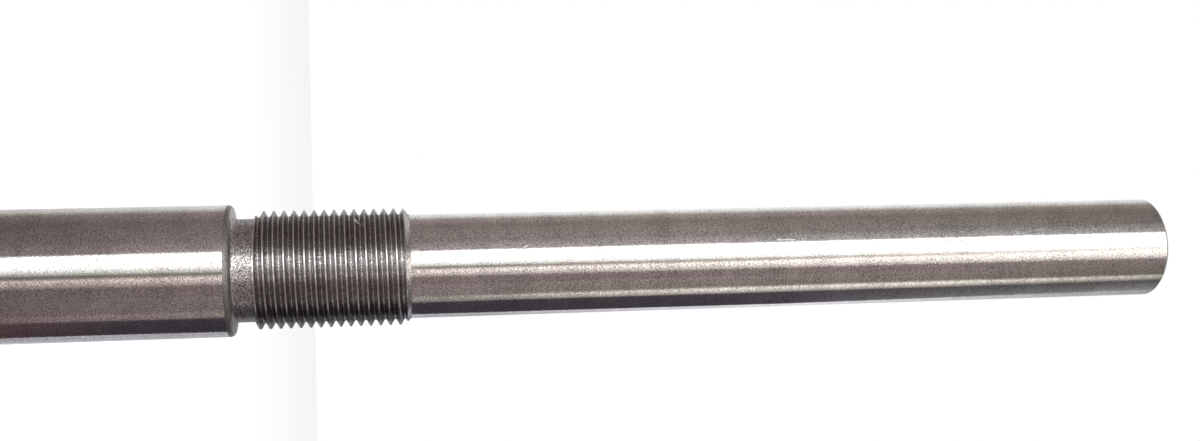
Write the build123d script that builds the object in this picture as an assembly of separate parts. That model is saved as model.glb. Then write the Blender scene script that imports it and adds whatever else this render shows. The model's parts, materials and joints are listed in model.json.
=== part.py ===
from build123d import *
import os
from math import ceil, radians, tan

# Stepped shaft, turned and ground from one bar. It stands on its large end face, with +Z along
# the axis towards the small end and the origin at the centre of that face.
# All sizes are in millimetres and degrees.

# Large journal: ground, carries the hub or bearing that is clamped against the shoulder.
LARGE_DIAMETER = 20.0
LARGE_LENGTH = 60.0
LARGE_END_CHAMFER = 0.5
SHOULDER_ROLL_LENGTH = 0.7  # rolled edge at the shoulder, measured along the axis
SHOULDER_ROLL_DEPTH = 0.3  # the same edge, measured down the shoulder face

# Relief between the shoulder and the thread, so that the nut can run up to the shoulder.
RELIEF_DIAMETER = 15.7
RELIEF_FLAT = 2.6  # the straight bottom, from its fillet to the square wall up to the thread
RELIEF_FILLET = 0.8

# Metric fine thread, right-hand, with the basic profile of a 60 degree screw thread.
THREAD_DIAMETER = 18.0
THREAD_PITCH = 1.5
THREAD_LENGTH = 22.1  # at full diameter, between the relief and the end chamfer
THREAD_ANGLE = 60.0
CREST_FLAT_RATIO = 1 / 8  # flat crest, as a share of the pitch
GROOVE_DEPTH_RATIO = 17 / 24  # groove depth, as a share of the sharp V's height
GROOVE_START = 1.6  # from the shoulder to the middle of the groove's first turn, at +X
THREAD_CHAMFER_ANGLE = 45.0

# Small journal: long, ground, slightly smaller than the thread root.
SMALL_DIAMETER = 16.0
SMALL_LENGTH = 122.5
SMALL_END_CHAMFER = 0.5

# Centre holes for turning and grinding between centres, one in each end face.
LARGE_CENTRE_PILOT = 3.15
LARGE_CENTRE_MOUTH = 6.7
LARGE_CENTRE_DEPTH = 7.0
SMALL_CENTRE_PILOT = 2.5
SMALL_CENTRE_MOUTH = 5.3
SMALL_CENTRE_DEPTH = 5.5
CENTRE_CONE_ANGLE = 60.0
DRILL_POINT_ANGLE = 120.0

TOOL_OVERRUN = 0.1  # how far a cutting shape stands proud of what it cuts

# Radii and stations along the axis, worked out from the sizes above.
large_r = LARGE_DIAMETER / 2
relief_r = RELIEF_DIAMETER / 2
thread_r = THREAD_DIAMETER / 2
small_r = SMALL_DIAMETER / 2

shoulder_z = LARGE_LENGTH
thread_start_z = shoulder_z + RELIEF_FILLET + RELIEF_FLAT
thread_end_z = thread_start_z + THREAD_LENGTH
small_start_z = thread_end_z + (thread_r - small_r) / tan(radians(THREAD_CHAMFER_ANGLE))
top_z = small_start_z + SMALL_LENGTH


def turned_blank() -> Part:
    """Return the shaft before threading, revolved from one outline of radius against height."""
    shoulder_edge = (large_r - SHOULDER_ROLL_DEPTH, shoulder_z)
    fillet_top = (relief_r + RELIEF_FILLET, shoulder_z)
    fillet_foot = (relief_r, shoulder_z + RELIEF_FILLET)
    large_journal = Polyline(
        (0, 0),
        (large_r - LARGE_END_CHAMFER, 0),
        (large_r, LARGE_END_CHAMFER),
        (large_r, shoulder_z - SHOULDER_ROLL_LENGTH),
    )
    shoulder_roll = TangentArc(large_journal @ 1, shoulder_edge, tangent=(0, 1))
    shoulder_face = Line(shoulder_edge, fillet_top)
    relief_fillet = TangentArc(fillet_top, fillet_foot, tangent=(-1, 0))
    thread_and_small_journal = Polyline(
        fillet_foot,
        (relief_r, thread_start_z),
        (thread_r, thread_start_z),
        (thread_r, thread_end_z),
        (small_r, small_start_z),
        (small_r, top_z - SMALL_END_CHAMFER),
        (small_r - SMALL_END_CHAMFER, top_z),
        (0, top_z),
        (0, 0),
    )
    outline = large_journal + shoulder_roll + shoulder_face + relief_fillet + thread_and_small_journal
    return revolve(Plane.XZ * make_face(outline), Axis.Z)


def thread_groove() -> Part:
    """Return the screw groove: a V with a flat root, carried up a right-hand helix.

    The helix starts in the relief and runs out over the small journal, whose surfaces both lie
    below the root, so the groove ends in free air at either end, as a cut thread does.
    """
    flank_slope = tan(radians(THREAD_ANGLE / 2))
    sharp_height = THREAD_PITCH / 2 / flank_slope
    depth = GROOVE_DEPTH_RATIO * sharp_height
    crest_half = THREAD_PITCH * (1 - CREST_FLAT_RATIO) / 2
    root_half = crest_half - depth * flank_slope
    mouth_half = crest_half + TOOL_OVERRUN * flank_slope
    root_r = thread_r - depth
    mouth_r = thread_r + TOOL_OVERRUN
    start_z = shoulder_z + GROOVE_START
    turn_count = ceil((small_start_z + mouth_half - start_z) / THREAD_PITCH)
    groove_section = Plane.XZ * Pos(0, start_z) * make_face(
        Polyline(
            (root_r, -root_half),
            (mouth_r, -mouth_half),
            (mouth_r, mouth_half),
            (root_r, root_half),
            (root_r, -root_half),
        )
    )
    turns = [
        Pos(0, 0, start_z + turn * THREAD_PITCH) * Helix(THREAD_PITCH, THREAD_PITCH, thread_r)
        for turn in range(turn_count)
    ]
    return sweep(groove_section, path=Wire(turns), is_frenet=True)


def centre_hole(pilot: float, mouth: float, depth: float) -> Part:
    """Return a centre-drilled hole with its mouth at the origin, running down -Z."""
    pilot_r, mouth_r = pilot / 2, mouth / 2
    cone_slope = tan(radians(CENTRE_CONE_ANGLE / 2))
    point_height = pilot_r / tan(radians(DRILL_POINT_ANGLE / 2))
    outline = Polyline(
        (0, TOOL_OVERRUN),
        (mouth_r + TOOL_OVERRUN * cone_slope, TOOL_OVERRUN),
        (pilot_r, -(mouth_r - pilot_r) / cone_slope),
        (pilot_r, -depth),
        (0, -depth - point_height),
        (0, TOOL_OVERRUN),
    )
    return revolve(Plane.XZ * make_face(outline), Axis.Z)


def stepped_shaft() -> Part:
    """Return the finished shaft: the blank, threaded and centre-drilled."""
    small_centre = centre_hole(SMALL_CENTRE_PILOT, SMALL_CENTRE_MOUTH, SMALL_CENTRE_DEPTH)
    large_centre = centre_hole(LARGE_CENTRE_PILOT, LARGE_CENTRE_MOUTH, LARGE_CENTRE_DEPTH)
    return (
        turned_blank()
        - thread_groove()
        - Pos(0, 0, top_z) * small_centre
        - Rot(180, 0, 0) * large_centre
    )


shaft = stepped_shaft()
shaft.label = "stepped_shaft"
os.makedirs("parts", exist_ok=True)
export_step(shaft, "parts/stepped_shaft.step")
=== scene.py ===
"""Stepped shaft, dressed: a ground, turned and threaded steel shaft standing in a small light tent.

The frame gives every main size. The shaft is one closed mesh, built as rings round its axis with a
helical band of rows for the screw thread, and each stretch of it wears the finish that its machining
leaves: ground journals, a turned relief, a cut thread, faced ends.
"""

import json
import logging
from collections.abc import Iterable
from dataclasses import dataclass
from enum import Enum
from math import atan2, cos, exp, pi, radians, sin, tan

import bpy
from mathutils import Matrix, Vector


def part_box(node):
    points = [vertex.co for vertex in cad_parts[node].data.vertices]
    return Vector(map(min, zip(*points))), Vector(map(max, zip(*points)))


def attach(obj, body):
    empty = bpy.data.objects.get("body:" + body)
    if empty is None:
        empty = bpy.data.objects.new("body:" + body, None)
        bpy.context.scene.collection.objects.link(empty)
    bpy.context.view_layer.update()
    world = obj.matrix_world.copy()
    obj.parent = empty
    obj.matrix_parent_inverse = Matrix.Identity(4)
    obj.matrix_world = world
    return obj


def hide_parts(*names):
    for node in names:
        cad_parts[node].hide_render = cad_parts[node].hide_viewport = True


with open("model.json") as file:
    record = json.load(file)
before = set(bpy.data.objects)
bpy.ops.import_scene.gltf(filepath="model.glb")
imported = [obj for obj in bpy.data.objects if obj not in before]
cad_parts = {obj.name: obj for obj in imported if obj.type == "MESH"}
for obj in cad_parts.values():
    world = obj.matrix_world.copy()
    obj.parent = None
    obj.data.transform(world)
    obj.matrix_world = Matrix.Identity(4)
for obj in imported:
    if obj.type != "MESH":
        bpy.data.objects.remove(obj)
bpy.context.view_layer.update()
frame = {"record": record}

NODE = "stepped_shaft"
BODY = "root"
MM = 0.001
COLUMNS = 192  # facets round the axis
SHARP_ANGLE = radians(28)
SPARE_TURNS = 2  # of the helix, below the threaded band
PATCH_SHARE, LINE_SHARE, GRAIN_SHARE = 0.15, 0.12, 0.73  # of what dulls the steel
MARK_ROUGHNESS = 0.35
BARE_ROUGHNESS = 0.4  # added where a mark lays bright metal open
ROUND_THE_AXIS = 0.25  # turn of the brushed highlight, as a share of a circle
FLAG_GAP = 3.0 * MM  # between the top end and the flag over it
FLAG_MARGIN = 0.2 * MM  # by which the flag is smaller than the top end
TENT_HEIGHT = 0.27

log = logging.getLogger(NODE)

Point = tuple[float, float, float]
Colour = tuple[float, float, float]
Ring = list[int]  # numbers of points, one for each column
Face = tuple[int, ...]
Socket = bpy.types.NodeSocket
Tree = bpy.types.NodeTree
WHITE: Colour = (1.0, 1.0, 1.0)


class Finish(Enum):
    """What machining leaves on one stretch of the shaft; the values name the materials."""

    GROUND = "ground_steel"
    EDGE = "turned_edge_steel"
    SHOULDER = "shoulder_face_steel"
    FACED = "faced_steel"
    RELIEF = "turned_relief_steel"
    THREAD = "cut_thread_steel"
    CREST = "thread_crest_steel"
    CHAMFER = "thread_chamfer_steel"


# --- Sizes ---


@dataclass(frozen=True)
class ShaftSizes:
    """Main sizes of the shaft in metres, read from the frame's box and mounts."""

    large_r: float
    small_r: float
    thread_r: float
    shoulder_z: float
    thread_start_z: float
    thread_end_z: float
    small_start_z: float
    top_z: float

    @classmethod
    def from_frame(cls, record: dict) -> "ShaftSizes":
        """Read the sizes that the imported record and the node's box give.


        Returns:
            The shaft's main sizes.
        """
        mounts = {mount["name"]: mount for mount in record["mounts"]}
        thread = mounts["thread"]
        small = mounts["small_journal"]
        thread_half = thread["dims"]["length_mm"] * MM / 2
        small_half = small["dims"]["length_mm"] * MM / 2
        return cls(
            large_r=mounts["large_journal"]["dims"]["r_mm"] * MM,
            small_r=small["dims"]["r_mm"] * MM,
            thread_r=thread["dims"]["r_mm"] * MM,
            shoulder_z=mounts["shoulder"]["pos_m"][2],
            thread_start_z=thread["pos_m"][2] - thread_half,
            thread_end_z=thread["pos_m"][2] + thread_half,
            small_start_z=small["pos_m"][2] - small_half,
            top_z=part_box(NODE)[1].z,
        )


@dataclass(frozen=True)
class Station:
    """One ring of the shaft's outline, and the finish of the band from it to the next ring."""

    radius: float
    height: float
    finish: Finish


def arc_stations(
    centre: tuple[float, float], radius: float, start: float, end: float, steps: int, finish: Finish
) -> list[Station]:
    """Return the rings of a rounded edge or fillet.

    Args:
        centre: Radius and height of the arc's centre.
        radius: Radius of the arc.
        start: Angle of its first ring, in radians, from straight outwards towards +Z.
        end: Angle of its last ring.
        steps: Number of bands.
        finish: Finish of the bands.

    Returns:
        The rings, in order, without the last one.
    """
    angles = [start + (end - start) / steps * step for step in range(steps)]
    places = [(centre[0] + radius * cos(angle), centre[1] + radius * sin(angle)) for angle in angles]
    return [Station(*place, finish) for place in places]


# --- The shaft's parts, each a run of rings ---


@dataclass(frozen=True)
class CentreHole:
    """A 60 degree centre hole with a straight pilot and a drill point."""

    pilot_r: float
    mouth_r: float
    depth: float
    cone_slope: float = tan(radians(30))
    point_slope: float = tan(radians(60))

    def stations(self, face_z: float, inwards: int) -> list[Station]:
        """Return the hole's rings from its point out to its mouth.

        Args:
            face_z: Height of the end face that the hole is drilled in.
            inwards: +1 where the hole runs up from the face, -1 where it runs down.

        Returns:
            The rings, ending at the hole's mouth.
        """
        cone = (self.mouth_r - self.pilot_r) / self.cone_slope
        point = self.depth + self.pilot_r / self.point_slope
        rings = ((0.0, point), (self.pilot_r, self.depth), (self.pilot_r, cone), (self.mouth_r, 0.0))
        return [Station(radius, face_z + inwards * deep, Finish.FACED) for radius, deep in rings]


@dataclass
class LargeJournal:
    """The ground journal that the shaft stands on, from its end face up to the shoulder."""

    sizes: ShaftSizes
    end_chamfer: float = 0.5 * MM
    roll_length: float = 0.7 * MM
    roll_depth: float = 0.3 * MM
    roll_steps: int = 7
    centre_hole: CentreHole = CentreHole(1.575 * MM, 3.35 * MM, 7.0 * MM)

    def stations(self) -> list[Station]:
        """Return the rings from the centre hole's point up to the rolled edge's end."""
        size = self.sizes
        roll_start = size.shoulder_z - self.roll_length
        roll_r = (self.roll_length**2 + self.roll_depth**2) / (2 * self.roll_depth)
        roll_end = atan2(self.roll_length, roll_r - self.roll_depth)
        edge_r = size.large_r - self.roll_depth
        return [
            *self.centre_hole.stations(0.0, 1),
            Station(size.large_r - self.end_chamfer, 0.0, Finish.EDGE),
            Station(size.large_r, self.end_chamfer, Finish.GROUND),
            *arc_stations(
                (size.large_r - roll_r, roll_start), roll_r, 0.0, roll_end, self.roll_steps, Finish.EDGE
            ),
            Station(edge_r, size.shoulder_z, Finish.SHOULDER),
        ]


@dataclass
class ThreadRelief:
    """The turned groove between the shoulder and the thread, which ends it in a square wall."""

    sizes: ShaftSizes
    radius: float = 7.85 * MM
    fillet_r: float = 0.8 * MM
    fillet_steps: int = 9
    face_share: float = 1 / 3  # of the fillet, which looks like the shoulder's face

    def stations(self) -> list[Station]:
        """Return the rings from the shoulder face, along the straight bottom, to the wall's foot."""
        fillet_z = self.sizes.shoulder_z + self.fillet_r
        centre = (self.radius + self.fillet_r, fillet_z)
        face_steps = round(self.fillet_steps * self.face_share)
        face_end = -pi / 2 - pi / 2 * face_steps / self.fillet_steps
        foot_steps = self.fillet_steps - face_steps
        return [
            *arc_stations(centre, self.fillet_r, -pi / 2, face_end, face_steps, Finish.SHOULDER),
            *arc_stations(centre, self.fillet_r, face_end, -pi, foot_steps, Finish.RELIEF),
            Station(self.radius, fillet_z, Finish.RELIEF),
            Station(self.radius, self.sizes.thread_start_z, Finish.RELIEF),
        ]


@dataclass
class SmallJournal:
    """The long ground journal above the thread, with its faced and centre-drilled end."""

    sizes: ShaftSizes
    end_chamfer: float = 0.5 * MM
    centre_hole: CentreHole = CentreHole(1.25 * MM, 2.65 * MM, 5.5 * MM)

    def stations(self) -> list[Station]:
        """Return the rings from the end of the thread's chamfer to the point of the centre hole."""
        size = self.sizes
        hole = self.centre_hole.stations(size.top_z, -1)
        return [
            Station(size.small_r, size.top_z - self.end_chamfer, Finish.EDGE),
            Station(size.small_r - self.end_chamfer, size.top_z, Finish.FACED),
            *reversed(hole),
        ]


@dataclass
class ScrewThread:
    """The right-hand thread: a rounded-root V groove that follows a helix, cut into a plain band."""

    sizes: ShaftSizes
    pitch: float = 1.5 * MM
    flank_angle: float = radians(30)
    crest_flat_ratio: float = 1 / 8
    depth_ratio: float = 17 / 24  # of the sharp V's height
    root_ratio: float = 1 / 6  # root radius, as a share of the sharp V's height
    groove_start: float = 1.6 * MM  # from the shoulder to the groove's middle, at +X
    crest_break: float = 0.045 * MM  # radius that deburring leaves on the crest's corners
    cone_break: float = 0.12 * MM  # depth over which deburring blends the groove into the end cone
    feather: float = 0.2 * MM  # width that deburring leaves of the thin edge at the relief's wall
    root_steps: int = 6
    flank_steps: int = 5
    crest_steps: int = 3

    @property
    def sharp_height(self) -> float:
        """Height of the sharp V that the profile is based on."""
        return self.pitch / 2 / tan(self.flank_angle)

    @property
    def root_r(self) -> float:
        """Radius at the bottom of the groove."""
        return self.sizes.thread_r - self.depth_ratio * self.sharp_height

    def half_profile(self) -> list[tuple[float, float]]:
        """Return one flank of the groove, as (distance from the groove's middle, radius)."""
        lean = pi / 2 - self.flank_angle
        root = self.root_ratio * self.sharp_height
        turns = [lean * step / self.root_steps * 2 for step in range(self.root_steps // 2 + 1)]
        rounded_root = [(root * sin(turn), self.root_r + root * (1 - cos(turn))) for turn in turns]
        edge = self.pitch * (1 - self.crest_flat_ratio) / 2
        crest = self.crest_break
        tangent = crest * tan(lean / 2)
        middle = (edge + tangent, self.sizes.thread_r - crest)
        turns = [lean - lean * step / self.crest_steps for step in range(self.crest_steps + 1)]
        rounded_crest = [
            (middle[0] - crest * sin(turn), middle[1] + crest * cos(turn)) for turn in turns
        ]
        foot, head = rounded_root[-1], rounded_crest[0]
        shares = [step / self.flank_steps for step in range(1, self.flank_steps)]
        reach, climb = head[0] - foot[0], head[1] - foot[1]
        flank = [(foot[0] + reach * share, foot[1] + climb * share) for share in shares]
        return [*rounded_root, *flank, *rounded_crest]

    def pitch_profile(self) -> list[tuple[float, float]]:
        """Return one whole pitch of the thread, from a groove's middle up to the next."""
        up = self.half_profile()
        down = [(self.pitch - offset, radius) for offset, radius in reversed(up[1:])]
        return up + down

    def groove_radius(self, offset: float) -> float:
        """Return the radius of the groove's profile at an offset up from its middle."""
        profile = [*self.pitch_profile(), (self.pitch, self.root_r)]
        for (low, low_r), (high, high_r) in zip(profile, profile[1:]):
            if offset <= high:
                return low_r + (high_r - low_r) * (offset - low) / (high - low)
        return self.root_r

    def blank_radius(self, height: float) -> float:
        """Return the radius of the unthreaded band at a height."""
        size = self.sizes
        falling = size.thread_r - (height - size.thread_end_z)
        return min(size.thread_r, max(falling, size.small_r))

    def feather_radius(self, wall_offset: float) -> float:
        """Return the radius left of the ridge that the relief's wall cuts.

        Args:
            wall_offset: How far the wall lies above the middle of the groove below it.

        Returns:
            The radius where the ridge is as wide as the feather, or the crest's radius.
        """
        if wall_offset + self.feather < self.pitch / 2:
            return self.sizes.thread_r
        return self.groove_radius(min(wall_offset + self.feather, self.pitch))

    def cut_radius(self, groove_r: float, blank_r: float) -> float:
        """Return the radius left by the groove in the band, with the edge on the end cones eased."""
        ease = min(self.cone_break, self.sizes.thread_r - blank_r)
        lower = min(groove_r, blank_r)
        if ease <= 0:
            return lower
        closeness = max(0.0, 1 - abs(groove_r - blank_r) / ease)
        return lower - closeness**2 * ease / 4


# --- The mesh ---


def add_object(name: str, data: bpy.types.ID) -> bpy.types.Object:
    """Make an object, put it in the scene and return it."""
    made = bpy.data.objects.new(name, data)
    bpy.context.scene.collection.objects.link(made)
    return made


class RingMesh:
    """Collects the rings and faces of one closed mesh round the Z axis."""

    def __init__(self, columns: int) -> None:
        """Start an empty mesh with a number of columns round the axis."""
        self.columns = columns
        self.points: list[Point] = []
        self.faces: list[Face] = []
        self.finishes: list[Finish] = []

    def add_point(self, radius: float, height: float, column: float) -> int:
        """Add a point on a column and return its number."""
        angle = 2 * pi * column / self.columns
        self.points.append((radius * cos(angle), radius * sin(angle), height))
        return len(self.points) - 1

    def add_ring(self, station: Station) -> Ring:
        """Add a ring of points, or one repeated point where the ring has no radius."""
        if station.radius == 0.0:
            return [self.add_point(0.0, station.height, 0)] * self.columns
        columns = range(self.columns)
        return [self.add_point(station.radius, station.height, column) for column in columns]

    def add_face(self, corners: Iterable[int], finish: Finish) -> None:
        """Add a face, dropping repeated corners, unless it has no area left."""
        own = tuple(dict.fromkeys(corners))
        if len(own) > 2:
            self.faces.append(own)
            self.finishes.append(finish)

    def join_rings(self, lower: Ring, upper: Ring, finish: Finish) -> None:
        """Fill the band between two rings."""
        for column in range(self.columns):
            after = (column + 1) % self.columns
            self.add_face((lower[column], lower[after], upper[after], upper[column]), finish)

    def add_stations(self, stations: list[Station]) -> tuple[Ring, Ring]:
        """Add a run of rings with the bands between them.

        Args:
            stations: The rings, in order along the outline.

        Returns:
            The first ring and the last ring.
        """
        rings = [self.add_ring(station) for station in stations]
        for lower, upper, station in zip(rings, rings[1:], stations):
            self.join_rings(lower, upper, station.finish)
        return rings[0], rings[-1]

    def add_thread(self, thread: ScrewThread, low_z: float, high_z: float) -> tuple[Ring, Ring]:
        """Add the threaded band, whose rows follow the helix between two plain rings.

        Args:
            thread: The thread to cut.
            low_z: Height of the ring below it, at the top of the relief's wall.
            high_z: Height of the plain ring above it.

        Returns:
            The ring below, notched by the groove, and the plain ring above.
        """
        profile = thread.pitch_profile()
        pitch, rows_per_pitch = thread.pitch, len(profile)
        first = thread.sizes.shoulder_z + thread.groove_start - SPARE_TURNS * pitch
        turns = int((high_z - first) / pitch) + SPARE_TURNS + 1
        high_ring = self.add_ring(Station(thread.blank_radius(high_z), high_z, Finish.RELIEF))
        low_ring: Ring = []
        grid: list[list[int]] = []
        cut: dict[int, bool] = {}
        for column in range(self.columns):
            rise = pitch * column / self.columns
            wall_offset = (low_z - first - rise) % pitch
            groove_r = thread.groove_radius(wall_offset)
            feather_r = thread.feather_radius(wall_offset)
            low_ring.append(self.add_point(thread.cut_radius(groove_r, feather_r), low_z, column))
            cut[low_ring[column]] = groove_r < feather_r
            row_numbers: list[int] = []
            for row in range(turns * rows_per_pitch):
                offset, groove_r = profile[row % rows_per_pitch]
                height = first + pitch * (row // rows_per_pitch) + offset + rise
                if height <= low_z:
                    row_numbers.append(low_ring[column])
                elif height >= high_z:
                    row_numbers.append(high_ring[column])
                else:
                    on_cut_ridge = height < low_z + pitch - wall_offset
                    blank_r = feather_r if on_cut_ridge else thread.blank_radius(height)
                    number = self.add_point(thread.cut_radius(groove_r, blank_r), height, column)
                    cut[number] = groove_r < blank_r
                    row_numbers.append(number)
            grid.append(row_numbers)
        for column in range(self.columns):
            shift = rows_per_pitch if column == self.columns - 1 else 0  # where the helix wraps
            here, after = grid[column], grid[(column + 1) % self.columns]
            for row in range(len(here) - 1 - shift):
                corners = (here[row], after[row + shift], after[row + shift + 1], here[row + 1])
                self.add_face(corners, self._thread_finish(corners, cut, thread))
        return low_ring, high_ring

    def _thread_finish(self, corners: Face, cut: dict[int, bool], thread: ScrewThread) -> Finish:
        """Return the finish of a face in the threaded band: cut groove, crest or end cone."""
        if sum(cut.get(corner, False) for corner in corners) > 2:
            return Finish.THREAD
        height = sum(self.points[corner][2] for corner in corners) / len(corners)
        return Finish.CREST if height <= thread.sizes.thread_end_z else Finish.CHAMFER

    def build(self, name: str, materials: dict[Finish, bpy.types.Material]) -> bpy.types.Object:
        """Make the Blender object, smooth but for its sharp edges.

        Args:
            name: Name of the object and its mesh.
            materials: The material of each finish.

        Returns:
            The object, at the origin.
        """
        mesh = bpy.data.meshes.new(name)
        mesh.from_pydata(self.points, [], self.faces)
        for material in materials.values():
            mesh.materials.append(material)
        order = list(materials)
        numbers = [order.index(finish) for finish in self.finishes]
        mesh.polygons.foreach_set("material_index", numbers)
        mesh.polygons.foreach_set("use_smooth", [True] * len(self.faces))
        mesh.validate(verbose=False)
        mesh.update()
        mesh.set_sharp_from_angle(angle=SHARP_ANGLE)
        return add_object(name, mesh)


# --- Shader building ---


class Graph:
    """Adds and joins the nodes of one material, world or group."""

    def __init__(self, tree: Tree) -> None:
        """Start from an empty tree."""
        self.tree = tree
        tree.nodes.clear()

    def node(self, kind: str, **settings: object) -> bpy.types.Node:
        """Add a node and set its own properties."""
        added = self.tree.nodes.new(kind)
        for key, value in settings.items():
            setattr(added, key, value)
        return added

    def join(self, source: Socket, target: Socket) -> None:
        """Link an output to an input."""
        self.tree.links.new(source, target)

    def feed(self, target: Socket, value: object) -> None:
        """Link a socket to an input, or set the input where the value is plain."""
        if isinstance(value, bpy.types.NodeSocket):
            self.join(value, target)
        else:
            target.default_value = value

    def math(self, operation: str, *values: object) -> Socket:
        """Add a Math node for an operation such as ADD, feed its inputs and return its output."""
        added = self.node("ShaderNodeMath", operation=operation)
        for socket, value in zip(added.inputs, values):
            self.feed(socket, value)
        return added.outputs[0]

    def total(self, start: object, *parts: tuple[object, object]) -> Socket:
        """Return a start value plus the product of each pair."""
        for amount, share in parts:
            start = self.math("MULTIPLY_ADD", amount, share, start)
        return start

    def span(
        self, value: object, low: object, high: object, to_low: float = 0.0, to_high: float = 1.0
    ) -> Socket:
        """Map a value smoothly from one span to another and return the result."""
        added = self.node("ShaderNodeMapRange", interpolation_type="SMOOTHSTEP")
        for socket, given in zip(added.inputs, (value, low, high, to_low, to_high)):
            self.feed(socket, given)
        return added.outputs[0]

    def blend(self, amount: object, first: object, second: object) -> Socket:
        """Mix two colours and return the result."""
        added = self.node("ShaderNodeMix", data_type="RGBA")
        self.feed(added.inputs[0], amount)
        self.feed(added.inputs[6], first)
        self.feed(added.inputs[7], second)
        return added.outputs[2]

    def fill(self, node: bpy.types.Node, values: dict[str, object]) -> Socket:
        """Feed a node's inputs by their names and return its first output."""
        for key, value in values.items():
            self.feed(node.inputs[key], value)
        return node.outputs[0]

    def group(self, tree: Tree, settings: object) -> Socket:
        """Place a shared effect, with its inputs fed from the settings of the same names."""
        placed = self.node("ShaderNodeGroup", node_tree=tree)
        for socket in placed.inputs:
            self.feed(socket, getattr(settings, socket.name.lower()))
        return placed.outputs[0]


def start_material(name: str) -> tuple[bpy.types.Material, Graph]:
    """Make a material and return it with its empty graph."""
    made = bpy.data.materials.new(name)
    made.use_nodes = True
    return made, Graph(made.node_tree)


class EffectGroup(Graph):
    """A shared effect: the graph of a node group, with named number inputs and one output."""

    def __init__(self, name: str) -> None:
        """Make an empty group."""
        super().__init__(bpy.data.node_groups.new(name, "ShaderNodeTree"))
        self.source = self.node("NodeGroupInput")
        self.sink = self.node("NodeGroupOutput")

    def take(self, *names: str) -> list[Socket]:
        """Add inputs and return their sockets inside the group."""
        for name in names:
            self.tree.interface.new_socket(name, in_out="INPUT", socket_type="NodeSocketFloat")
        return [self.source.outputs[name] for name in names]

    def give(self, name: str, value: Socket) -> Tree:
        """Add the output, fed from a socket, and return the finished group."""
        self.tree.interface.new_socket(name, in_out="OUTPUT", socket_type="NodeSocketFloat")
        self.join(value, self.sink.inputs[name])
        return self.tree

    def place(self) -> tuple[Socket, ...]:
        """Return the point's x, y, z and distance from the axis, in the shaft's own metres."""
        where = self.node("ShaderNodeTexCoord").outputs["Object"]
        split = self.node("ShaderNodeSeparateXYZ")
        self.join(where, split.inputs[0])
        across, along, up = split.outputs
        squares = self.total(0.0, (across, across), (along, along))
        return across, along, up, self.math("SQRT", squares)

    def noise(self, dimensions: str, point: tuple[Socket, ...], **values: object) -> Socket:
        """Return smooth noise at a point, with more of the noise node's inputs as values."""
        where = self.fill(self.node("ShaderNodeCombineXYZ"), dict(zip("XYZ", point)))
        noise = self.node("ShaderNodeTexNoise", noise_dimensions=dimensions)
        return self.fill(noise, {"Vector": where, "Scale": 1.0, **values})


def tool_lines_group() -> Tree:
    """Return the effect of lines round the axis: ridges on round faces, rings on flat ones."""
    graph = EffectGroup("tool_lines")
    spacing, wander = graph.take("Spacing", "Wander")
    across, along, up, reach = graph.place()
    wide = [graph.math("MULTIPLY", value, wander) for value in (across, along)]
    fine_up, fine_out = [graph.math("DIVIDE", value, spacing) for value in (up, reach)]
    lines = graph.noise("4D", (*wide, fine_up), W=fine_out, Detail=2.0, Roughness=0.55)
    return graph.give("Lines", graph.span(lines, 0.2, 0.8))


def cloud_group(name: str, output: str, low: float, high: float, detail: float) -> Tree:
    """Return an effect of uneven spots, drawn out round the shaft.

    Args:
        name: Name of the group.
        output: Name of its output.
        low: Noise level that gives 0.
        high: Noise level that gives 1.
        detail: Number of finer layers.

    Returns:
        The group, with the spots' size and how far they are drawn out as its inputs.
    """
    graph = EffectGroup(name)
    size, stretch = graph.take("Size", "Stretch")
    *across, up = [graph.math("DIVIDE", value, size) for value in graph.place()[:3]]
    drawn_out = [graph.math("DIVIDE", value, stretch) for value in across]
    cloud = graph.noise("3D", (*drawn_out, up), Detail=detail)
    return graph.give(output, graph.span(cloud, low, high))


def band_group() -> Tree:
    """Return the effect of a soft-edged band between two heights on the shaft."""
    graph = EffectGroup("height_band")
    low, high, fade = graph.take("Low", "High", "Fade")
    up = graph.place()[2]
    enter = graph.span(up, low, graph.math("ADD", low, fade))
    leave = graph.span(up, graph.math("SUBTRACT", high, fade), high, 1.0, 0.0)
    return graph.give("Band", graph.math("MULTIPLY", enter, leave))


def handling_mark_group() -> Tree:
    """Return the effect of one short nick or scratch at a place on the shaft."""
    graph = EffectGroup("handling_mark")
    height, azimuth, length, width, slant = graph.take(
        "Height", "Azimuth", "Length", "Width", "Slant"
    )
    across, along, up, reach = graph.place()
    turned = graph.math("ARCTAN2", across, graph.math("MULTIPLY", along, -1.0))
    round_way = graph.math("MULTIPLY", graph.math("SUBTRACT", turned, azimuth), reach)
    up_way = graph.math("SUBTRACT", up, height)
    down_way = graph.math("MULTIPLY", up_way, -1.0)
    cosine, sine = graph.math("COSINE", slant), graph.math("SINE", slant)
    lengthwise = graph.total(0.0, (round_way, sine), (up_way, cosine))
    crosswise = graph.total(0.0, (round_way, cosine), (down_way, sine))
    shares = []
    for offset, size, solid in ((lengthwise, length, 0.7), (crosswise, width, 0.4)):
        half = graph.math("MULTIPLY", size, 0.5)
        far = graph.math("DIVIDE", graph.math("ABSOLUTE", offset), half)
        shares.append(graph.span(far, solid, 1.0, 1.0, 0.0))
    return graph.give("Mark", graph.math("MULTIPLY", *shares))


@dataclass(frozen=True)
class SharedEffects:
    """The node groups that several finishes use."""

    tool_lines: Tree
    mottle: Tree
    grain: Tree
    band: Tree
    mark: Tree

    @classmethod
    def build(cls) -> "SharedEffects":
        """Build each group once."""
        mottle = cloud_group("mottle", "Patches", 0.3, 0.7, 3.0)
        grain = cloud_group("grain", "Grain", 0.4, 0.6, 1.0)
        return cls(tool_lines_group(), mottle, grain, band_group(), handling_mark_group())


# --- Finishes ---


@dataclass(frozen=True)
class Mark:
    """A nick or scratch in the steel."""

    height: float
    azimuth: float
    length: float
    width: float
    slant: float = 0.0
    depth: float = 0.006 * MM
    bare: float = 0.0  # how much bright, rough metal it lays open


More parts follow.
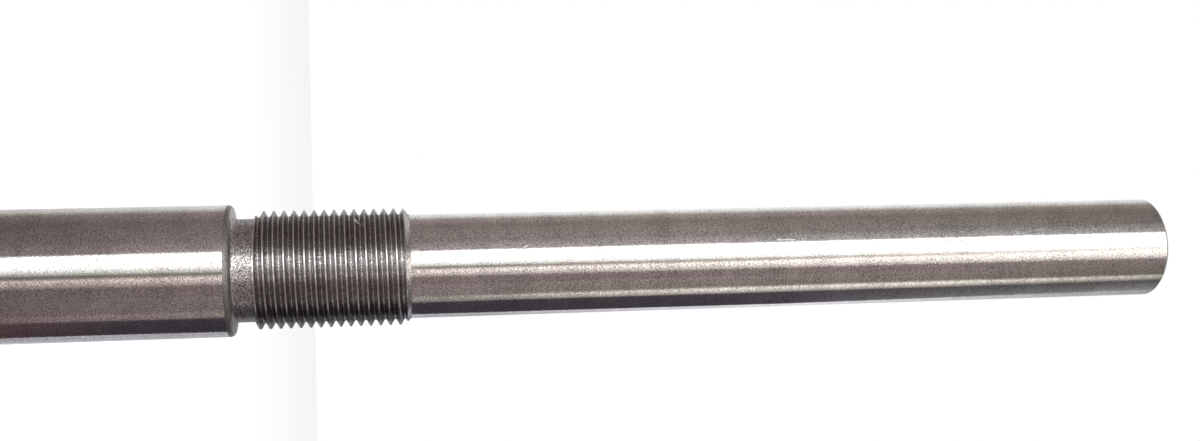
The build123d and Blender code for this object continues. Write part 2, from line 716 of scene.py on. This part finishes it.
@dataclass(frozen=True)
class DullBand:
    """A stretch of a finish, between two heights, that is rougher than the rest."""

    low: float
    high: float
    fade: float
    extra_roughness: float
    extra_line_depth: float = 0.0


@dataclass(frozen=True)
class ToolLines:
    """The fine lines that a tool or a wheel leaves round the axis."""

    spacing: float
    wander: float
    roughness: float = 0.06
    depth: float = 0.002 * MM


@dataclass(frozen=True)
class Grain:
    """The fine grain of a surface."""

    depth: float
    roughness: float = 0.05
    size: float = 0.16 * MM
    stretch: float = 1.0


PATCHES = Grain(depth=0.0, roughness=0.0, size=4.0 * MM, stretch=2.0)  # they only dull the steel


@dataclass(frozen=True)
class SteelFinish:
    """Steel as one kind of machining leaves it."""

    colour: Colour
    dull_colour: Colour
    roughness: float
    lines: ToolLines
    grain: Grain
    anisotropy: float = 0.0
    grazing: float = 1.0  # how much of the edge-on sheen is left
    bands: tuple[DullBand, ...] = ()
    marks: tuple[Mark, ...] = ()

    def material(self, name: str, effects: SharedEffects) -> bpy.types.Material:
        """Build the material.

        Args:
            name: Name of the material.
            effects: The shared node groups.

        Returns:
            The material.
        """
        made, graph = start_material(name)
        lines = graph.group(effects.tool_lines, self.lines)
        patches = graph.group(effects.mottle, PATCHES)
        grain = graph.group(effects.grain, self.grain)
        dull = graph.total(0.0, (patches, PATCH_SHARE), (lines, LINE_SHARE), (grain, GRAIN_SHARE))
        colour = graph.blend(dull, (*self.colour, 1.0), (*self.dull_colour, 1.0))
        rough = graph.total(self.roughness, (lines, self.lines.roughness), (grain, self.grain.roughness))
        line_depth: object = self.lines.depth
        for band in self.bands:
            stretch = graph.group(effects.band, band)
            rough = graph.total(rough, (stretch, band.extra_roughness))
            line_depth = graph.total(line_depth, (stretch, band.extra_line_depth))
        relief = graph.total(0.0, (lines, line_depth), (grain, self.grain.depth))
        for mark in self.marks:
            spot = graph.group(effects.mark, mark)
            colour = graph.blend(graph.math("MULTIPLY", spot, mark.bare), colour, (*WHITE, 1.0))
            rough = graph.total(rough, (spot, MARK_ROUGHNESS + BARE_ROUGHNESS * mark.bare))
            relief = graph.total(relief, (spot, -mark.depth))
        bump = graph.node("ShaderNodeBump")
        surface = graph.node("ShaderNodeBsdfPrincipled")
        values = {
            "Base Color": colour,
            "Metallic": 1.0,
            "Roughness": rough,
            "Normal": graph.fill(bump, {"Strength": 1.0, "Distance": 1.0, "Height": relief}),
            "Specular Tint": (self.grazing, self.grazing, self.grazing, 1.0),
            "Anisotropic": self.anisotropy,
            "Anisotropic Rotation": ROUND_THE_AXIS,
        }
        output = graph.node("ShaderNodeOutputMaterial")
        graph.join(graph.fill(surface, values), output.inputs[0])
        return made


def steel_finishes(sizes: ShaftSizes) -> dict[Finish, SteelFinish]:
    """Return the finish that each stretch of the shaft wears.

    Args:
        sizes: The shaft's main sizes.

    Returns:
        One steel finish for each kind of machining.
    """
    seat = DullBand(sizes.shoulder_z - 15.5 * MM, sizes.shoulder_z, 1.5 * MM, 0.03, 0.001 * MM)
    start = sizes.small_start_z
    run_out = DullBand(start - 1.0 * MM, start + 0.9 * MM, 0.15 * MM, 0.08, 0.003 * MM)
    nick = Mark(78.58 * MM, radians(-54), 0.8 * MM, 0.7 * MM, radians(-35), 0.04 * MM, bare=1.0)
    marks = (
        Mark(103.8 * MM, radians(-18.1), 0.9 * MM, 0.25 * MM, radians(-35)),
        Mark(144.5 * MM, radians(-18.3), 3.4 * MM, 0.3 * MM),
        Mark(182.9 * MM, radians(-20.8), 0.6 * MM, 0.25 * MM, radians(75)),
        Mark(183.2 * MM, radians(-19.2), 0.5 * MM, 0.3 * MM, radians(50)),
        Mark(88.4 * MM, radians(43.5), 0.35 * MM, 0.35 * MM),
    )
    return {
        Finish.GROUND: SteelFinish(
            colour=(0.96, 0.94, 0.92), dull_colour=(0.26, 0.25, 0.24), roughness=0.07,
            lines=ToolLines(0.2 * MM, 70.0, 0.03, 0.0004 * MM),
            grain=Grain(0.0008 * MM, 0.03, 0.13 * MM, 1.1),
            anisotropy=0.6,
            bands=(seat, run_out),
            marks=marks,
        ),
        Finish.EDGE: SteelFinish(
            colour=(0.42, 0.405, 0.395), dull_colour=(0.16, 0.15, 0.143), roughness=0.4,
            lines=ToolLines(0.12 * MM, 90.0, 0.08),
            grain=Grain(0.012 * MM, 0.08),
        ),
        Finish.SHOULDER: SteelFinish(
            colour=(0.78, 0.76, 0.745), dull_colour=(0.4, 0.385, 0.375), roughness=0.3,
            lines=ToolLines(0.2 * MM, 200.0, 0.08, 0.004 * MM),
            grain=Grain(0.03 * MM, 0.1, 0.2 * MM),
            grazing=0.6,
        ),
        Finish.FACED: SteelFinish(
            colour=(0.58, 0.56, 0.54), dull_colour=(0.46, 0.44, 0.425), roughness=0.26,
            lines=ToolLines(0.14 * MM, 80.0, 0.12, 0.003 * MM),
            grain=Grain(0.002 * MM, size=0.2 * MM),
            anisotropy=0.4,
        ),
        Finish.RELIEF: SteelFinish(
            colour=(0.76, 0.745, 0.74), dull_colour=(0.2, 0.19, 0.18), roughness=0.11,
            lines=ToolLines(0.13 * MM, 200.0, 0.05),
            grain=Grain(0.02 * MM, size=0.2 * MM, stretch=1.2),
            grazing=0.5,
        ),
        Finish.THREAD: SteelFinish(
            colour=(0.7, 0.69, 0.685), dull_colour=(0.21, 0.2, 0.198), roughness=0.08,
            lines=ToolLines(0.07 * MM, 120.0),
            grain=Grain(0.01 * MM, stretch=1.3),
            grazing=0.45,
            marks=(nick,),
        ),
        Finish.CREST: SteelFinish(
            colour=(0.86, 0.84, 0.825), dull_colour=(0.5, 0.48, 0.47), roughness=0.06,
            lines=ToolLines(0.12 * MM, 120.0, depth=0.001 * MM),
            grain=Grain(0.005 * MM, size=0.15 * MM),
            grazing=0.45,
            marks=(nick,),
        ),
        Finish.CHAMFER: SteelFinish(
            colour=(0.72, 0.705, 0.695), dull_colour=(0.36, 0.35, 0.34), roughness=0.13,
            lines=ToolLines(0.1 * MM, 120.0, 0.08),
            grain=Grain(0.01 * MM, 0.06),
            grazing=0.55,
        ),
    }


# --- The shaft ---


class SteppedShaft:
    """The whole shaft: its parts in order along the axis, as one closed mesh."""

    def __init__(self, sizes: ShaftSizes) -> None:
        """Lay out the shaft's parts from its main sizes."""
        self.sizes = sizes
        self.large_journal = LargeJournal(sizes)
        self.relief = ThreadRelief(sizes)
        self.thread = ScrewThread(sizes)
        self.small_journal = SmallJournal(sizes)

    def mesh(self) -> RingMesh:
        """Return the shaft's rings and faces, from the large end to the small end."""
        rings = RingMesh(COLUMNS)
        _, relief_ring = rings.add_stations([*self.large_journal.stations(), *self.relief.stations()])
        low_z, high_z = self.sizes.thread_start_z, self.sizes.small_start_z
        low_ring, high_ring = rings.add_thread(self.thread, low_z, high_z)
        small_ring, _ = rings.add_stations(self.small_journal.stations())
        rings.join_rings(relief_ring, low_ring, Finish.RELIEF)
        rings.join_rings(high_ring, small_ring, Finish.GROUND)
        return rings

    def dress(self, finishes: dict[Finish, SteelFinish]) -> bpy.types.Object:
        """Build the shaft's object, put it in place of the plain node and return it.

        Args:
            finishes: The steel finish of each kind of machining.

        Returns:
            The finished piece.
        """
        effects = SharedEffects.build()
        materials = {kind: steel.material(kind.value, effects) for kind, steel in finishes.items()}
        piece = self.mesh().build("shaft_finished", materials)
        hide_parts(NODE)
        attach(piece, BODY)
        log.info("%s: %d faces, %d finishes", piece.name, len(piece.data.polygons), len(materials))
        return piece


# --- The studio ---


@dataclass(frozen=True)
class Edge:
    """The foot or the head of a card: where it starts and ends, how bright each end is, and its tint.

    Angles are in degrees round the shaft from the camera's side, positive towards +X.
    """

    start: float
    end: float
    start_level: float
    end_level: float
    tint: Colour

    def spot(self, across: float, sweep: float) -> tuple[float, ...]:
        """Return the angle and the three colour levels at a share of the width."""
        level = self.start_level + (self.end_level - self.start_level) * across**sweep
        return (self.start + (self.end - self.start) * across, *(level * part for part in self.tint))


@dataclass(frozen=True)
class Card:
    """An upright, curved strip of the light tent, which only the metal's reflections see."""

    name: str
    foot: Edge
    head: Edge
    waist_gain: float = 0.0  # how much brighter it is halfway up, as a share
    bottom: float = 0.0
    top: float = TENT_HEIGHT
    rise: float = 1.0  # above 1, the head's brightness only shows near the head
    sweep: float = 1.0  # above 1, the end's brightness only shows near the end

    def spot(self, across: float, up: float) -> tuple[float, Colour]:
        """Return the angle and the colour at a share of the card's width and height."""
        foot_angle, *foot_levels = self.foot.spot(across, self.sweep)
        head_angle, *head_levels = self.head.spot(across, self.sweep)
        gain = 1 + self.waist_gain * 4 * up * (1 - up)
        levels = (low + (high - low) * up**self.rise for low, high in zip(foot_levels, head_levels))
        return foot_angle + (head_angle - foot_angle) * up, tuple(level * gain for level in levels)


@dataclass(frozen=True)
class Roof:
    """The tent's round lid: dim, with one soft bright patch."""

    level: float = 0.14
    tint: Colour = (1.0, 0.92, 0.88)
    patch_level: float = 3.0
    patch_size: float = 0.042
    rings: int = 12
    sides: int = 48

    def build_points(self, reach: float) -> tuple[list[Point], list[float]]:
        """Return the lid's points, ring by ring out from the patch's middle, and their colours."""
        points: list[Point] = []
        colours: list[float] = []
        for ring in range(self.rings + 1):
            share = ring / self.rings
            for side in range(self.sides):
                turn = 2 * pi * side / self.sides
                x = reach * sin(turn) * share
                y = reach * cos(turn) * share
                fall = exp(-(((x**2 + y**2) / self.patch_size**2) ** 2))
                level = self.level + (self.patch_level - self.level) * fall
                points.append((x, y, TENT_HEIGHT))
                colours.extend((*(level * part for part in self.tint), 1.0))
        return points, colours


@dataclass
class LightTent:
    """A round tent of cards that stands close round the shaft and shows in its polish."""

    cards: tuple[Card, ...]
    flag_z: float
    flag_radius: float
    flag_level: float = 0.75
    mat_z: float = 0.2 * MM
    mat_level: float = 0.3
    roof: Roof = Roof()
    radius: float = 0.085
    row_height: float = 0.015
    degrees_per_facet: float = 2.0

    def build(self) -> None:
        """Make every card as a stage piece that camera and shadow rays pass through."""
        for card in self.cards:
            self._strip(card)
        self._roof()
        self._disc("card_flag", self.flag_z, self.flag_radius, self.flag_level)
        self._disc("card_mat", self.mat_z, self.radius, self.mat_level)
        log.info("light tent: %d cards, a roof, a flag and a mat", len(self.cards))

    def _strip(self, card: Card) -> None:
        """Make one card: a curved strip whose brightness fades from edge to edge."""
        width = max(card.foot.end - card.foot.start, card.head.end - card.head.start)
        columns = max(2, round(width / self.degrees_per_facet))
        rows = max(2, round((card.top - card.bottom) / self.row_height))
        points: list[Point] = []
        colours: list[float] = []
        for column in range(columns + 1):
            for row in range(rows + 1):
                degrees, colour = card.spot(column / columns, row / rows)
                angle = radians(degrees)
                height = card.bottom + (card.top - card.bottom) * row / rows
                points.append((self.radius * sin(angle), -self.radius * cos(angle), height))
                colours.extend((*colour, 1.0))
        stride = rows + 1
        corners = [column * stride + row for column in range(columns) for row in range(rows)]
        faces = [(corner, corner + stride, corner + stride + 1, corner + 1) for corner in corners]
        self._hang(f"card_{card.name}", points, faces, colours)

    def _roof(self) -> None:
        """Close the tent with its lid."""
        points, colours = self.roof.build_points(self.radius)
        sides = self.roof.sides
        faces = []
        for ring in range(self.roof.rings):
            for side in range(sides):
                after = (side + 1) % sides
                corners = ((0, side), (0, after), (1, after), (1, side))
                faces.append(tuple(sides * (ring + up) + at for up, at in corners))
        self._hang("card_roof", points, faces, colours)

    def _disc(self, name: str, height: float, radius: float, level: float) -> None:
        """Lay a level grey disc: the flag over the top end, or the mat under the tent."""
        turns = [2 * pi * side / self.roof.sides for side in range(self.roof.sides)]
        points = [(radius * sin(turn), radius * cos(turn), height) for turn in turns]
        face = tuple(range(len(points)))
        self._hang(name, points, [face], [level, level, level, 1.0] * len(points))

    def _hang(self, name: str, points: list[Point], faces: list[Face], colours: list[float]) -> None:
        """Make a card's object, which only reflections see."""
        mesh = bpy.data.meshes.new(name)
        mesh.from_pydata(points, [], faces)
        mesh.color_attributes.new("level", "FLOAT_COLOR", "POINT").data.foreach_set("color", colours)
        mesh.materials.append(self._glow(name))
        hung = add_object(name, mesh)
        hung.visible_camera = hung.visible_diffuse = hung.visible_shadow = False

    def _glow(self, name: str) -> bpy.types.Material:
        """Return the plain glowing material of a card."""
        made, graph = start_material(name)
        level = graph.node("ShaderNodeAttribute", attribute_name="level")
        glow = graph.fill(graph.node("ShaderNodeEmission"), {"Color": level.outputs["Color"]})
        graph.join(glow, graph.node("ShaderNodeOutputMaterial").inputs[0])
        return made


ROSE: Colour = (1.0, 0.8, 0.8)
WARM: Colour = (1.0, 0.88, 0.8)
CREAM: Colour = (1.0, 0.94, 0.88)
PALE: Colour = (1.0, 0.98, 0.96)
COOL: Colour = (0.97, 0.97, 1.06)
RED: Colour = (1.5, 0.85, 0.9)
BLUSH: Colour = (1.06, 0.72, 0.78)
VIOLET: Colour = (1.13, 0.95, 1.18)

# Heights and edges where one card ends and the next one goes on
RED_TOP, LOW_TOP, UPPER_TOP = 0.03, 0.1, 0.17
OVER_RED = Edge(81.8, 122.8, 0.07, 0.05, VIOLET)
OVER_DARK = Edge(84.25, 131.6, 0.07, 0.06, VIOLET)
OVER_DARK_UPPER = Edge(85.6, 137.8, 0.1, 0.08, VIOLET)
OVER_BRIGHT = Edge(131.6, 175, 0.66, 0.14, COOL)
OVER_BRIGHT_UPPER = Edge(137.8, 175, 1.15, 0.3, COOL)

TENT_CARDS = (
    Card("behind", Edge(175, 226, 0.7, 0.66, WHITE), Edge(175, 226, 1.06, 0.86, WHITE), 0.38),
    Card("back_left", Edge(-134, -118, 0.63, 0.26, CREAM), Edge(-134, -118, 0.84, 0.4, PALE), 0.35),
    Card("left", Edge(-118, -90, 0.26, 0.16, ROSE), Edge(-118, -90, 0.35, 0.22, WARM), 0.5),
    Card("front_left", Edge(-90, -57, 0.16, 0.2, ROSE), Edge(-90, -57, 0.22, 0.25, WARM), 0.7),
    Card("by_window", Edge(-57, -30.6, 0.2, 0.32, ROSE), Edge(-57, -32.3, 0.25, 0.58, PALE), 0.4),
    Card("window", Edge(-30.6, -11, 2.5, 2.2, WHITE), Edge(-32.3, -2, 2.5, 2.5, WHITE)),
    Card("window_fade", Edge(-11, 0.5, 1.62, 0.26, PALE), Edge(-2, 3.5, 2.3, 1.6, PALE), 0.06),
    Card("valley", Edge(0.5, 5, 0.24, 0.24, WARM), Edge(3.5, 5.5, 1.7, 1.8, CREAM), rise=2.3),
    Card("second_rise", Edge(5, 9.5, 0.36, 1.0, WARM), Edge(5.5, 9, 1.8, 2.6, CREAM), rise=2.4),
    Card("second_fall", Edge(9.5, 21, 0.8, 0.19, ROSE), Edge(9, 27, 2.3, 0.75, CREAM), 0.15),
    Card("right", Edge(21, 40, 0.2, 0.22, ROSE), Edge(27, 40, 0.4, 0.3, ROSE), 0.15),
    Card("far_right", Edge(40, 66, 0.2, 0.2, ROSE), Edge(40, 66, 0.26, 0.2, WARM), 0.62),
    Card("thin_low", Edge(66, 72, 0.21, 0.27, BLUSH), Edge(66, 72, 0.29, 0.52, CREAM), top=LOW_TOP),
    Card(
        "thin_low_fade", Edge(72, 80.75, 0.27, 0.23, BLUSH), Edge(72, 84.25, 0.48, 0.34, CREAM),
        top=LOW_TOP
    ),
    Card(
        "thin_high", Edge(66, 72, 0.26, 0.62, CREAM), Edge(66, 72, 0.14, 0.6, CREAM), 1.35,
        bottom=LOW_TOP, sweep=1.6
    ),
    Card(
        "thin_high_fade", Edge(72, 84.25, 0.6, 0.23, CREAM), Edge(72, 87.5, 0.58, 0.03, CREAM), 1.35,
        bottom=LOW_TOP
    ),
    Card("red_glint", Edge(80.75, 121, 0.1, 0.06, RED), OVER_RED, top=RED_TOP),
    Card("dark", OVER_RED, OVER_DARK, -0.15, bottom=RED_TOP, top=LOW_TOP),
    Card("dark_upper", OVER_DARK, OVER_DARK_UPPER, -0.1, bottom=LOW_TOP, top=UPPER_TOP),
    Card("dark_high", OVER_DARK_UPPER, Edge(87.5, 119, 0.14, 0.38, WHITE), bottom=UPPER_TOP, rise=0.6),
    Card("back_right_low", Edge(121, 175, 0.4, 1.4, COOL), OVER_BRIGHT, top=LOW_TOP, rise=0.4, sweep=2.0),
    Card("back_right", OVER_BRIGHT, OVER_BRIGHT_UPPER, bottom=LOW_TOP, top=UPPER_TOP, sweep=1.6),
    Card(
        "back_right_high", OVER_BRIGHT_UPPER, Edge(119, 175, 0.38, 0.54, WHITE), bottom=UPPER_TOP,
        sweep=2.0
    ),
)


@dataclass
class Studio:
    """The plain pale floor, the white background and the soft lamp."""

    floor_half: float = 1.5
    floor_colour: Colour = (0.8, 0.8, 0.8)
    floor_lift: float = 0.28
    ambient: float = 0.75
    lamp_size: float = 0.6
    lamp_power: float = 5.0
    lamp_distance: float = 0.9
    lamp_azimuth: float = -20.0
    lamp_elevation: float = 68.0

    def build(self) -> None:
        """Make the world, the floor and the lamp."""
        self._world()
        self._floor()
        self._lamp()
        log.info("studio: floor, white background and one soft lamp")

    def _seen_white(self, graph: Graph) -> Socket:
        """Return 1 for the rays that see the background: from the camera, off metal, through glass."""
        path = graph.node("ShaderNodeLightPath").outputs
        either = graph.math("MAXIMUM", path["Is Camera Ray"], path["Is Glossy Ray"])
        return graph.math("MAXIMUM", either, path["Is Transmission Ray"])

    def _world(self) -> None:
        """Light softly from all round, and show white where the background is seen."""
        world = bpy.data.worlds.new("studio")
        bpy.context.scene.world = world
        world.use_nodes = True
        graph = Graph(world.node_tree)
        mixed = graph.node("ShaderNodeMixShader")
        graph.join(self._seen_white(graph), mixed.inputs[0])
        for target, strength in zip(mixed.inputs[1:], (self.ambient, 1.0)):
            background = graph.node("ShaderNodeBackground")
            light = graph.fill(background, {"Color": (*WHITE, 1.0), "Strength": strength})
            graph.join(light, target)
        graph.join(mixed.outputs[0], graph.node("ShaderNodeOutputWorld").inputs[0])

    def _floor(self) -> None:
        """Lay the floor, which reads as white but keeps the shaft's shadow."""
        half = self.floor_half
        mesh = bpy.data.meshes.new("floor")
        corners = [(-half, -half, 0), (half, -half, 0), (half, half, 0), (-half, half, 0)]
        mesh.from_pydata(corners, [], [(0, 1, 2, 3)])
        made, graph = start_material("pale_floor")
        diffuse, glow = graph.node("ShaderNodeBsdfDiffuse"), graph.node("ShaderNodeEmission")
        strength = graph.math("MULTIPLY", self._seen_white(graph), self.floor_lift)
        both = graph.node("ShaderNodeAddShader")
        graph.join(graph.fill(diffuse, {"Color": (*self.floor_colour, 1.0)}), both.inputs[0])
        graph.join(graph.fill(glow, {"Strength": strength}), both.inputs[1])
        graph.join(both.outputs[0], graph.node("ShaderNodeOutputMaterial").inputs[0])
        mesh.materials.append(made)
        add_object("floor", mesh)

    def _lamp(self) -> None:
        """Hang the soft lamp high up, so that the shaft's shadow stays short."""
        azimuth, elevation = radians(self.lamp_azimuth), radians(self.lamp_elevation)
        level = cos(elevation)
        away = Vector((sin(azimuth) * level, -cos(azimuth) * level, sin(elevation)))
        data = bpy.data.lights.new("soft_lamp", "AREA")
        data.size = self.lamp_size
        data.energy = self.lamp_power
        lamp = add_object("soft_lamp", data)
        lamp.location = away * self.lamp_distance
        lamp.rotation_mode = "QUATERNION"
        lamp.rotation_quaternion = away.to_track_quat("Z", "Y")
        lamp.visible_glossy = False


@dataclass
class StudioCamera:
    """The camera: it looks along +Y with its head on its side, so that the shaft's +Z runs right."""

    shoulder_z: float
    foot_past_shoulder: float = 22.3 * MM
    distance: float = 216.5 * MM
    lens: float = 41.55
    sensor: float = 36.0
    yaw: float = radians(8.96)
    pitch: float = radians(1.68)
    roll: float = radians(1.53)

    def build(self) -> bpy.types.Object:
        """Make the camera the scene's own and return it."""
        along, depth, up = Vector((0, 0, 1)), Vector((0, 1, 0)), Vector((-1, 0, 0))
        right = along * cos(self.yaw) - depth * sin(self.yaw)
        ahead = depth * cos(self.yaw) + along * sin(self.yaw)
        lifted = up * cos(self.pitch) - ahead * sin(self.pitch)
        forward = ahead * cos(self.pitch) + up * sin(self.pitch)
        image_right = right * cos(self.roll) - lifted * sin(self.roll)
        image_up = right * sin(self.roll) + lifted * cos(self.roll)
        data = bpy.data.cameras.new("camera")
        data.sensor_width = self.sensor
        data.lens = self.lens
        data.clip_start = 0.01
        data.clip_end = 10.0
        camera = add_object("camera", data)
        turn = Matrix((image_right, image_up, -forward)).transposed()
        place = Vector((0, -self.distance, self.shoulder_z + self.foot_past_shoulder))
        camera.matrix_world = Matrix.Translation(place) @ turn.to_4x4()
        bpy.context.scene.camera = camera
        log.info("camera: %.1f mm lens, %.0f mm from the axis", self.lens, self.distance / MM)
        return camera


def main() -> None:
    """Build the shaft, the studio and the camera in order."""
    logging.basicConfig(level=logging.INFO, format="%(name)s: %(message)s")
    bpy.context.scene.view_settings.view_transform = "Standard"
    sizes = ShaftSizes.from_frame(frame["record"])
    SteppedShaft(sizes).dress(steel_finishes(sizes))
    LightTent(TENT_CARDS, sizes.top_z + FLAG_GAP, sizes.small_r - FLAG_MARGIN).build()
    Studio().build()
    StudioCamera(sizes.shoulder_z).build()


if __name__ == "__main__":
    main()
